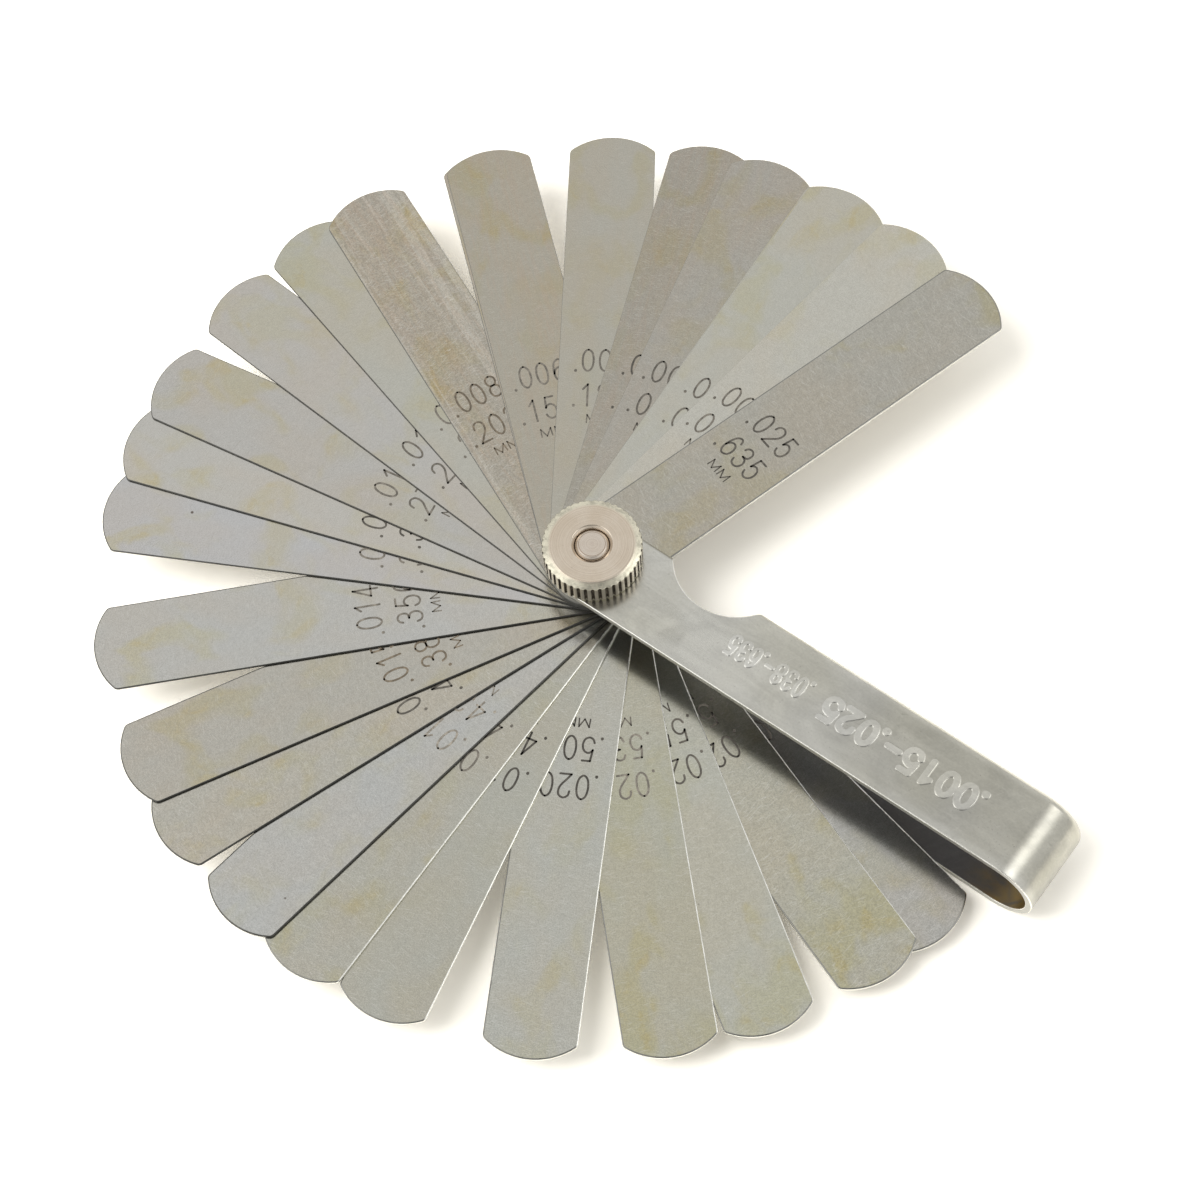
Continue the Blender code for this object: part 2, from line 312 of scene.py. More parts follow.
def ribbon(bm, points, half, low, high):
    """A flat ribbon of even width with round ends along the points."""
    ends = (0.0, 0.5, 0.87, 0.99)
    first, last = (points[0] - points[1]).normalized(), (points[-1] - points[-2]).normalized()
    along = [(points[0] + first * half * e, half * math.sqrt(1 - e * e)) for e in reversed(ends)]
    along += [(p, half) for p in points[1:-1]]
    along += [(points[-1] + last * half * e, half * math.sqrt(1 - e * e)) for e in ends]
    rows = []
    for i, (p, wide) in enumerate(along):
        ahead, behind = along[min(i + 1, len(along) - 1)][0], along[max(i - 1, 0)][0]
        run = (ahead - behind).normalized()
        side = Vector((-run.y, run.x)) * wide
        rows.append([bm.verts.new((*q, z)) for q in (p + side, p - side) for z in (low, high)])
    for a, b in zip(rows, rows[1:]):
        for i, j in ((0, 1), (1, 3), (3, 2), (2, 0)):
            bm.faces.new((a[i], a[j], b[j], b[i]))
    for row in (rows[0], rows[-1]):
        bm.faces.new((row[0], row[1], row[3], row[2]))


def as_piece(name, bm, materials, smooth=35):
    """The bmesh as an object with these materials, shaded smooth except at sharp edges."""
    bmesh.ops.recalc_face_normals(bm, faces=bm.faces)
    mesh = bpy.data.meshes.new(name)
    bm.to_mesh(mesh)
    bm.free()
    for made in materials:
        mesh.materials.append(made)
    mesh.shade_smooth()
    mesh.set_sharp_from_angle(angle=math.radians(smooth))
    piece = bpy.data.objects.new(name, mesh)
    bpy.context.scene.collection.objects.link(piece)
    return piece


# ---------------------------------------------------------------- materials


def feed(tree, socket, value):
    """The value on the socket, linked if it is another node's output."""
    if isinstance(value, bpy.types.NodeSocket):
        tree.links.new(value, socket)
    else:
        socket.default_value = value


class Look:
    """A material under construction: its nodes are added with their inputs in one call."""

    def __init__(self, name):
        self.material = bpy.data.materials.new(name)
        self.material.use_nodes = True
        self.tree = self.material.node_tree
        self.shader = self.tree.nodes["Principled BSDF"]
        self.place = self.tree.nodes.new("ShaderNodeTexCoord").outputs["Object"]

    def node(self, kind, inputs=(), **settings):
        made = self.tree.nodes.new("ShaderNode" + kind)
        for key, value in settings.items():
            setattr(made, key, value)
        for key, value in dict(inputs).items():
            feed(self.tree, made.inputs[key], value)
        return made

    def coords(self, scale, shift=(0, 0, 0), turn=0.0):
        """The place on the piece, turned about Z by this many radians, scaled and shifted."""
        place = self.place
        if turn:
            place = self.node("VectorRotate", {"Vector": place, "Angle": turn},
                              rotation_type="Z_AXIS").outputs["Vector"]
        mapping = self.node("Mapping", {"Vector": place, "Location": shift, "Scale": scale})
        return mapping.outputs["Vector"]

    def noise(self, scale, shift=(0, 0, 0), detail=3.0, rough=0.55, turn=0.0, bend=0.0):
        """Noise from 0 to 1, with its cells this many to the metre along each axis."""
        return self.node("TexNoise", {"Vector": self.coords(scale, shift, turn), "Scale": 1.0,
                                      "Detail": detail, "Roughness": rough,
                                      "Distortion": bend}).outputs["Fac"]

    def ramp(self, value, low, high, to_low=0.0, to_high=1.0):
        """The value eased from one range to another, and held beyond its ends."""
        return self.node("MapRange", {"Value": value, "From Min": low, "From Max": high,
                                      "To Min": to_low, "To Max": to_high},
                         interpolation_type="SMOOTHSTEP").outputs["Result"]

    def math(self, operation, a, b):
        return self.node("Math", {0: a, 1: b}, operation=operation).outputs["Value"]

    def mix(self, factor, a, b, blend="MIX"):
        """Two colours mixed. The sockets are numbered, because each kind of data has its own."""
        made = self.node("Mix", data_type="RGBA", blend_type=blend)
        for index, value in ((0, factor), (6, a), (7, b)):
            feed(self.tree, made.inputs[index], value)
        return made.outputs[2]

    def bump(self, height, distance):
        """Bumps of this height, in metres, where the value goes from 0 to 1."""
        inputs = {"Height": height, "Distance": distance, "Strength": 1.0}
        return self.node("Bump", inputs).outputs["Normal"]

    def finish(self, **inputs):
        for key, value in inputs.items():
            feed(self.tree, self.shader.inputs[key.replace("_", " ")], value)
        return self.material


def grey(level, warm=0.0):
    """A metal's colour: its level, and how far it leans from neutral to yellow."""
    return (level * (1 + 0.03 * warm), level, level * (0.965 - 0.14 * warm), 1.0)


def leaf_look(name, seed, level, red, blue, stain, speck):
    """Worn spring steel: cloudy grey with yellow stains, short scratches and a few pits."""
    look = Look(name)
    shift = (seed * 0.37, seed * 0.61, seed * 0.13)

    def steel(r, g, b):
        return (level * red * r, level * g, level * blue * b, 1)

    hue = look.ramp(look.noise((75, 100, 900), shift, 2.0), 0.36, 0.64)
    colour = look.mix(hue, steel(0.992, 1.008, 1.035), steel(1.012, 0.99, 0.972))

    # Stains: pale patches with deeper cores, stronger towards the tip.
    along = look.node("SeparateXYZ", {"Vector": look.place}).outputs["X"]
    tip = look.ramp(along, 0.025, 0.064, 0.55, 1.0)
    patch = look.noise((115, 150, 900), shift, 2.5, 0.5, 0.0, 0.5)
    patch = look.math("MULTIPLY", look.ramp(patch, 0.47, 0.66, 0.0, min(1.0, 0.9 * stain)), tip)
    colour = look.mix(patch, colour, (0.985, 0.96, 0.79, 1), "MULTIPLY")
    rusted = stain > 1.5
    core = look.noise((230, 300, 900), shift[::-1], 3.0, 0.55, 0.0, 0.6)
    core = look.math("MULTIPLY", look.ramp(core, 0.52, 0.68, 0.0, 0.9 if rusted else 0.5), patch)
    colour = look.mix(core, colour, (1.0, 0.89, 0.60, 1), "MULTIPLY")
    if rusted:
        wiped = look.noise((16, 420, 900), shift, 4.0, 0.65, 0.0, 0.5)
        colour = look.mix(look.ramp(wiped, 0.50, 0.60, 0.0, 0.45), colour, (0.58, 0.555, 0.49, 1))
    brown = min(1.0, max(0.0, (red - 1.03) / 0.06))
    if brown:
        streak = look.ramp(look.noise((110, 900, 900), shift, 4.0, 0.7, 0.0, 1.2), 0.46, 0.60)
        streak = look.math("MULTIPLY", streak, brown)
        colour = look.mix(streak, colour, (1.03, 0.975, 0.95, 1), "MULTIPLY")

    # The grain of the grinding, fine and soft.
    swing = 3.0 * speck
    fine = look.noise((4600, 5400, 900), shift, 3.0, 0.6)
    grain = look.ramp(fine, 0.25, 0.75, 1 - swing, 1 + swing)
    colour = look.mix(1.0, colour, grain, "MULTIPLY")
    soft = look.noise((1100, 1500, 900), shift, 2.0)
    grain = look.ramp(soft, 0.3, 0.7, 1 - 0.2 * swing, 1 + 0.2 * swing)
    colour = look.mix(1.0, colour, grain, "MULTIPLY")

    # Short scratches both ways, bright and dull, and then pits.
    for turn, offset in ((1.3, 0.0), (1.85, 0.4)):
        cut = look.noise((650, 8500, 900), (offset, shift[0], 0), 1.0, 0.5, turn, 0.3)
        colour = look.mix(look.ramp(cut, 0.61, 0.71, 0.0, 4.5 * speck), colour, (0.80, 0.80, 0.77, 1))
        cut = look.noise((500, 7500, 900), (shift[1], offset, 0), 1.0, 0.5, -turn + 0.5, 0.3)
        colour = look.mix(look.ramp(cut, 0.65, 0.75, 0.0, 0.35), colour, steel(0.75, 0.73, 0.70))
    cells = look.coords((300, 300, 90), shift)
    pits = look.node("TexVoronoi", {"Vector": cells, "Scale": 1.0}, feature="F1")
    chance = look.node("SeparateColor", {"Color": pits.outputs["Color"]}).outputs["Red"]
    rare = 0.955 - 0.06 * min(1.0, brown + 0.3 * stain)
    deep = look.math("MULTIPLY", look.ramp(pits.outputs["Distance"], 0.045, 0.085, 1.0, 0.0),
                     look.ramp(chance, rare, rare + 0.005))
    colour = look.mix(look.math("MULTIPLY", deep, 0.85), colour, (0.09, 0.065, 0.05, 1))

    rough = look.ramp(fine, 0.25, 0.75, 0.17, 0.21)
    rough = look.math("ADD", rough, look.math("MULTIPLY", patch, 0.04))
    height = look.math("SUBTRACT", fine, look.math("MULTIPLY", deep, 2.0))
    return look.finish(Base_Color=colour, Metallic=1.0, Roughness=rough,
                       Normal=look.bump(height, 0.0010 * MM))


def edge_look(name, level, rough=0.45):
    """The sheared and ground rim of a plate."""
    look = Look(name)
    run = look.noise((500, 500, 9000), detail=3.0, rough=0.7)
    colour = look.mix(look.ramp(run, 0.35, 0.65), grey(level * 0.78, 0.3), grey(level, 0.1))
    return look.finish(Base_Color=colour, Metallic=1.0,
                       Roughness=look.ramp(run, 0.3, 0.7, rough - 0.06, rough + 0.08),
                       Normal=look.bump(run, 0.008 * MM))


def marking_look(seed, level, brown):
    """The black of an etched figure, worn thin in places."""
    look = Look(f"etched_{seed}")
    shift = (seed * 0.29, seed * 0.17, 0)
    wear = look.noise((1100, 1100, 900), shift, 4.0, 0.7)
    tint = (1.10 + 0.12 * brown, 1.0, 0.84 - 0.12 * brown)
    dark, worn = (tuple(level * f * t for t in tint) for f in (0.72, 1.55))
    colour = look.mix(look.ramp(wear, 0.38, 0.70), (*dark, 1), (*worn, 1))
    return look.finish(Base_Color=colour, Metallic=0.3,
                       Roughness=look.ramp(wear, 0.3, 0.7, 0.45, 0.65),
                       Normal=look.bump(wear, 0.008 * MM))


def case_look(name, level, warm, painted_shade_share=None):
    """Plated strip steel: a cloudy grey with wiped dirt, fine scratches and pits. The last argument is
    the share of its brightness that is left in a painted shade over the middle of the plate's outer
    half, which stands for the darker reflection there. Without it, this is the inside, which has
    painted shade on the lower plate, under the upper one, and is rusted in the fold."""
    look = Look(name)
    xyz = look.node("SeparateXYZ", {"Vector": look.place})
    cloud = look.noise((110, 150, 200), detail=4.0, rough=0.6, bend=1.0)
    hue = look.noise((60, 70, 90), (0.2, 0.1, 0), 2.0)
    fine = look.noise((2600, 3400, 2600), detail=3.0, rough=0.6)
    pits = look.ramp(look.noise((1500, 1500, 1500), detail=2.0), 0.68, 0.80)
    colour = look.mix(look.ramp(hue, 0.36, 0.64), grey(level * 1.01, warm - 0.15),
                      grey(level * 0.99, warm + 0.15))
    colour = look.mix(1.0, colour, look.ramp(cloud, 0.36, 0.66, 1.05, 0.90), "MULTIPLY")
    wiped = look.noise((45, 420, 200), detail=4.0, rough=0.65, bend=0.6)
    colour = look.mix(1.0, colour, look.ramp(wiped, 0.35, 0.65, 0.95, 1.05), "MULTIPLY")
    colour = look.mix(1.0, colour, look.ramp(fine, 0.25, 0.75, 0.95, 1.05), "MULTIPLY")
    for turn in (0.25, 2.1):
        cut = look.noise((420, 7500, 900), (turn, 0, 0), 1.0, 0.5, turn, 0.3)
        colour = look.mix(look.ramp(cut, 0.67, 0.77, 0.0, 0.16), colour, (0.82, 0.82, 0.79, 1))
    colour = look.mix(look.math("MULTIPLY", pits, 0.35), colour, grey(level * 0.45, 0.6))
    if painted_shade_share is None:
        rust = look.ramp(xyz.outputs["X"], CASE_FOLD_X - 6 * MM, CASE_FOLD_X + 2 * MM)
        rust = look.math("MULTIPLY", rust, look.ramp(cloud, 0.35, 0.6))
        # Painted shade: low down, on the lower plate under the upper one, the colour is darkened to
        # about 0.4 of itself.
        under = look.ramp(xyz.outputs["Z"], 7 * MM, 12 * MM)
        shaded = look.mix(1.0, colour, (0.42, 0.40, 0.38, 1), "MULTIPLY")
        colour = look.mix(under, shaded, colour)
        colour = look.mix(rust, colour, (0.38, 0.27, 0.11, 1))
    else:
        # Painted shade: over the plate's outer half, away from its long edges, the colour is darkened by
        # the share in the last argument, standing for the darker reflection there.
        across = look.math("ABSOLUTE", xyz.outputs["Y"], 0.0)
        middle = look.math("MULTIPLY", look.ramp(xyz.outputs["X"], 34 * MM, 50 * MM),
                           look.ramp(across, 4.9 * MM, 5.9 * MM, 1.0, 0.25))
        colour = look.mix(middle, colour, (painted_shade_share, painted_shade_share * 0.995, painted_shade_share * 0.98, 1), "MULTIPLY")
    base = 0.42 if painted_shade_share is None else 0.27
    rough = look.ramp(fine, 0.25, 0.75, base, base + 0.06)
    rough = look.math("ADD", rough, look.ramp(cloud, 0.4, 0.7, 0, 0.04))
    polish = look.ramp(xyz.outputs["X"], 9 * MM, 26 * MM, -0.09, 0.0)
    rough = look.math("ADD", rough, polish)
    return look.finish(Base_Color=colour, Metallic=1.0, Roughness=rough,
                       Normal=look.bump(fine, 0.0012 * MM))


def turned_look(name, colour, rough, dirt_and_shade=0.0, worn=None):
    """Nickel plate over turned steel: faint rings about the pivot, a soft cloud and, where asked for, a
    dark mottling that is partly old dirt and partly painted shade.
    The chamfer has another colour where it is worn."""
    look = Look(name)
    xyz = look.node("SeparateXYZ", {"Vector": look.place})
    flat = look.node("CombineXYZ", {"X": xyz.outputs["X"], "Y": xyz.outputs["Y"]})
    radius = look.node("VectorMath", {0: flat.outputs["Vector"]}, operation="LENGTH").outputs["Value"]
    rings = look.node("TexNoise", {"W": radius, "Scale": 6000.0, "Detail": 2.0, "Roughness": 0.6},
                      noise_dimensions="1D").outputs["Fac"]
    cloud = look.noise((260, 260, 260), detail=4.0, rough=0.6)
    specks = look.ramp(look.noise((2600, 2600, 2600), detail=2.0), 0.66, 0.78)
    dark = tuple(c * f for c, f in zip(colour, (0.92, 0.90, 0.87)))
    made = look.mix(look.ramp(cloud, 0.35, 0.7), (*colour, 1), (*dark, 1))
    if worn:
        chamfer = look.ramp(radius, NUT_FLAT_R - 0.1 * MM, NUT_FLAT_R + 0.5 * MM)
        made = look.mix(chamfer, made, (*worn, 1))
        film = look.ramp(look.noise((900, 900, 900), detail=4.0, rough=0.7), 0.40, 0.62, 0.0, 0.8)
        film = look.math("MULTIPLY", film, chamfer)
        made = look.mix(film, made, (*(c * 0.62 for c in worn), 1))
    made = look.mix(look.ramp(rings, 0.35, 0.65, 0.0, 0.7), made, (0.86, 0.85, 0.84, 1), "MULTIPLY")
    made = look.mix(look.math("MULTIPLY", specks, 0.30), made, (*(c * 0.5 for c in colour), 1))
    # Dark mottling, partly dirt and partly painted shade, as used for the knurl's grooves.
    if dirt_and_shade:
        dirt = look.ramp(look.noise((1400, 1400, 1400), detail=3.0), 0.30, 0.60, 0.6 * dirt_and_shade, dirt_and_shade)
        made = look.mix(dirt, made, (0.035, 0.028, 0.020, 1))
    roughness = look.ramp(cloud, 0.2, 0.8, rough - 0.04, rough + 0.06)
    if worn:
        roughness = look.math("ADD", roughness, look.math("MULTIPLY", chamfer, 0.12))
    return look.finish(Base_Color=made, Metallic=1.0, Roughness=roughness,
                       Normal=look.bump(rings, 0.002 * MM))


def floor_look():
    """White paper on a light table, which fills its own shadows a little."""
    look = Look("sweep_paper")
    tooth = look.noise((900, 900, 900), detail=4.0)
    colour = look.mix(tooth, (0.95, 0.93, 0.875, 1), (0.97, 0.95, 0.895, 1))
    return look.finish(Base_Color=colour, Roughness=0.9, Normal=look.bump(tooth, 0.02 * MM),
                       Emission_Color=(1.0, 0.95, 0.84, 1), Emission_Strength=0.17)


# ---------------------------------------------------------------- pieces


PIVOT_HOLE = arc((0, 0), HOLE_R, 0, -352, 44)


def leaf_outline():
    """A leaf that points along +X: a round tail, straight sides and a bowed tip."""
    half = LEAF_WIDTH / 2
    tip = (LEAF_REACH - LEAF_TIP_R, 0.0)
    corner_y = half - LEAF_CORNER_R
    corner_x = tip[0] + math.sqrt((LEAF_TIP_R - LEAF_CORNER_R) ** 2 - corner_y**2)
    turn = math.degrees(math.atan2(corner_y, corner_x - tip[0]))
    return (
        arc((0, 0), half, 90, 270, 32)
        + arc((corner_x, -corner_y), LEAF_CORNER_R, -90, -turn, 6)
        + arc(tip, LEAF_TIP_R, -turn, turn, 28)[1:-1]
        + arc((corner_x, corner_y), LEAF_CORNER_R, turn, 90, 6)
    )


def build_leaf(name, fanned, seed):
    """A leaf at its angle in the fan, in degrees, and its etched figures."""
    level, red, blue, stain, speck, edge, ink, out, left_by = LEAVES[name]
    low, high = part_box(name)
    thick = high.z - low.z
    rim = (min(LEAF_RIM[0], thick * 0.4), min(LEAF_RIM[1], thick * 0.25))
    loops = (leaf_outline(), PIVOT_HOLE)
    steps = 5 if thick > 0.15 * MM else 2
    bm = slab(loops, -thick / 2, thick / 2, rim, rim, steps, 0.12 * MM)
    # Painted highlight: on the leaves with the brightest edges, the rim along +Y gets a near white
    # colour.
    if edge > 0.85:
        for face in bm.faces:
            past = face.calc_center_median().y - LEAF_WIDTH / 2
            if face.material_index == 2 and past > -0.2 * MM:
                face.material_index = 3
    # The cut edge's level paints shade on some leaves and highlight on others, as the table gives it,
    # and the rounded brow on top is painted dark as shade.
    looks = (leaf_look(name + "_steel", seed, level, red, blue, stain, speck),
             edge_look(name + "_edge_painted_light", edge),
             edge_look(name + "_brow", 0.12 if edge < 0.3 else 0.28, 0.3),
             edge_look(name + "_painted_highlight", 0.92, 0.26))
    leaf = as_piece(name + "_fine", bm, looks)
    turned = Matrix.Rotation(math.radians(fanned), 4, "Z")
    place = Matrix.Translation((0, 0, (low.z + high.z) / 2)) @ turned
    leaf.matrix_world = place
    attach(leaf, name)
    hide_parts(name)

    inches = int(name[-4:]) / 10000
    label = f"{inches:.4f}"[1:] if name[-1] != "0" else f"{inches:.3f}"[1:]
    metric = f"{inches * 25.4:.3f}"[1:]
    top = thick / 2
    bm = bmesh.new()
    # In millimetres: a figure's width and height, the step from one to the next, where the line's
    # foot is along the leaf and its left end across it, and half the width of a stroke.
    for text, wide, tall, advance, foot, left, half in (
        (label, 1.58, 3.5, 2.47, 30.2, 4.72, 0.15),
        (metric, 1.58, 3.5, 2.47, 24.5, 4.78, 0.15),
        ("MM", 1.55, 1.25, 2.05, 21.8, 2.55, 0.10),
    ):
        for mark, points in lettering(text, wide, tall, advance, 4)[0]:
            line = [Vector(((foot + out + p.y) * MM, (left + left_by - p.x) * MM))
                    for p in points]
            wide_by = (0.21 if mark == "." else half) * MM
            ribbon(bm, line, wide_by, top - ETCH_SINK, top + ETCH_HEIGHT)
    browned = name in BROWNED_FIGURES
    figures = as_piece(name + "_figures", bm, (marking_look(seed, ink, browned),))
    figures.matrix_world = place
    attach(figures, name)


def strip_path(upper_z):
    """The middle of the folded strip as a function of the distance along it from the pivot
    in the upper plate: (point, outward normal), both as (x, z). Also the marks on the way."""
    middle = CASE_FOLD_R + CASE_THICKNESS / 2
    centre = Vector((CASE_FOLD_X, upper_z - CASE_FOLD_R))
    rise, run = centre.y - STACK_Z, centre.x - CASE_BEND_X
    slope = math.asin(CASE_FOLD_R / math.hypot(rise, run)) - math.atan2(rise, run)
    sweep = math.pi + slope
    down = Vector((-math.sin(slope), -math.cos(slope)))
    turned = centre + down * middle
    bend = Vector((CASE_BEND_X - CASE_THICKNESS / 2 * math.tan(slope / 2), STACK_Z - CASE_THICKNESS / 2))
    fold_end = CASE_FOLD_X + middle * sweep
    bend_at = fold_end + (bend - turned).length
    total = bend_at + bend.x

    def path(s):
        if s <= CASE_FOLD_X:
            return Vector((s, upper_z + CASE_THICKNESS / 2)), Vector((0, 1))
        if s <= fold_end:
            angle = math.pi / 2 - (s - CASE_FOLD_X) / middle
            out = Vector((math.cos(angle), math.sin(angle)))
            return centre + out * middle, out
        if s <= bend_at:
            return turned.lerp(bend, (s - fold_end) / (bend_at - fold_end)), down
        return Vector((bend.x - (s - bend_at), bend.y)), Vector((0, -1))

    return path, fold_end, bend_at, total


def build_case():
    """The folded strip, made flat with its holes and notches, and then folded."""
    upper_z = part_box("case")[1].z - CASE_THICKNESS
    path, fold_end, bend_at, total = strip_path(upper_z)
    half = CASE_WIDTH / 2
    reach = math.degrees(math.asin((NOTCH_CENTRE[1] - half) / NOTCH_R))
    notches = [arc((x, NOTCH_CENTRE[1]), NOTCH_R, -reach, reach - 180, 40)
               for x in (total - NOTCH_CENTRE[0], NOTCH_CENTRE[0])]
    outline = (arc((0, 0), half, 90, 270, 48) + arc((total, 0), half, -90, 90, 48)
               + notches[0] + notches[1])
    side = CASE_SQUARE_SIDE / 2
    square = [(total + x * side, y * side) for x, y in ((-1, -1), (-1, 1), (1, 1), (1, -1))]
    loops = (outline, PIVOT_HOLE, square)
    skin = CASE_THICKNESS / 2
    bm = slab(loops, -skin, skin, CASE_INNER_RIM, CASE_OUTER_RIM, 5, 0.2 * MM)
    for face in bm.faces:
        if face.calc_center_median().z < 0.01 * MM - skin:
            face.material_index = 3

    # The long edge at +Y is rolled over: the strip thins towards it along an arc.
    roll = half - CASE_ROLL_R
    for i in range(CASE_ROLL_CUTS):
        y = roll + CASE_ROLL_R * math.sin(math.radians(CASE_ROLL_STEP * i))
        cut_across(bm, (0, y, 0), (0, 1, 0))
    for v in bm.verts:
        if v.co.y > roll:
            past = min(v.co.y - roll, 0.99 * CASE_ROLL_R)
            drop = CASE_ROLL_R - math.sqrt(CASE_ROLL_R**2 - past**2)
            v.co.z = (v.co.z + skin) * (1 - drop / CASE_THICKNESS) - skin

    # The flat strip is cut across where it bends, and then laid along its path.
    fold_step = (fold_end - CASE_FOLD_X) / CASE_FOLD_CUTS
    for s in [CASE_FOLD_X + fold_step * i for i in range(CASE_FOLD_CUTS + 1)] + [bend_at]:
        cut_across(bm, (s, 0, 0), (1, 0, 0))
    for v in bm.verts:
        point, out = path(v.co.x)
        place = point + out * v.co.z
        v.co = (place.x, v.co.y, place.y)
    # The strip's rims are near white, a painted highlight, and the outside keeps 0.83 of its brightness
    # in its painted shade.
    looks = (case_look("case_outside", 0.54, 0.4, 0.83), edge_look("case_side", 0.48, 0.36),
             edge_look("case_brow", 0.96, 0.24), case_look("case_inside", 0.40, -0.6))
    case = as_piece("case_fine", bm, looks, 30)
    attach(case, "case")
    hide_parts("case")


def raised_figures(name, text, width, height, advance, right, foot, wide, narrow, look):
    """Numerals that stand up from the case, pressed as one smooth sheet. They read towards
    the pivot, with their feet towards +Y, from right along the case. Their strokes are this
    wide from their middle at the foot, and this narrow on top."""
    cell, sink, skirt, proud = 0.07 * MM, 0.02 * MM, 0.08 * MM, 0.10 * MM
    strokes, length = lettering(text, width, height, advance, 5)
    count_x, count_y = int(length / cell) + 12, int(height / cell) + 16
    xs = (np.arange(count_x) - 5) * cell
    ys = (np.arange(count_y) - 7) * cell
    grid_x, grid_y = np.meshgrid(xs, ys, indexing="ij")
    near = np.full(grid_x.shape, 1.0)
    for mark, points in strokes:
        spare = 0.12 * MM if mark == "." else 0.0
        for a, b in zip(points, points[1:]):
            dx, dy = b.x - a.x, b.y - a.y
            t = ((grid_x - a.x) * dx + (grid_y - a.y) * dy) / max(dx * dx + dy * dy, 1e-18)
            t = np.clip(t, 0, 1)
            gap = np.hypot(grid_x - a.x - t * dx, grid_y - a.y - t * dy) - spare
            near = np.minimum(near, gap)
    share = np.clip((wide - near) / (wide - narrow), -0.6, 1)
    rise = np.where(share > 0, share * share * (3 - 2 * share), share * 0.4) * proud
    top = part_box("case")[1].z
    kept = near < wide + 0.10 * MM
    bm = bmesh.new()
    upper, lower = {}, {}

    def corner(i, j, found, z):
        if (i, j) not in found:
            found[i, j] = bm.verts.new((right - xs[i], foot - ys[j], z))
        return found[i, j]

    cells = {(i, j) for i in range(count_x - 1) for j in range(count_y - 1)
             if kept[i, j] and kept[i + 1, j] and kept[i, j + 1] and kept[i + 1, j + 1]}
    for i, j in sorted(cells):
        ring = ((i, j), (i + 1, j), (i + 1, j + 1), (i, j + 1))
        high = [corner(*c, upper, top + max(rise[c], -sink)) for c in ring]
        deep = [corner(*c, lower, top - skirt) for c in ring]
        bm.faces.new(high)
        bm.faces.new(deep[::-1])
        for k, neighbour in enumerate(((i, j - 1), (i + 1, j), (i, j + 1), (i - 1, j))):
            if neighbour not in cells:
                n = (k + 1) % 4
                bm.faces.new((deep[k], deep[n], high[n], high[k]))
    piece = as_piece(name, bm, (look,), 60)
    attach(piece, "case")


def knurl_radius(angle, depth=1.0):
    """The nut's radius at an angle: broad lands between narrow round grooves, this deep."""
    share = (angle * NUT_GROOVES / (2 * math.pi)) % 1.0
    across = abs(share - 0.5) / NUT_GROOVE_HALF
    if across >= 1:
        return NUT_R - NUT_LAND_CROWN * (1 - min(1.0, (across - 1) * 3)) ** 2
    return NUT_R - NUT_GROOVE_DEPTH * depth * (1 - across**2.4) - NUT_LAND_CROWN * across


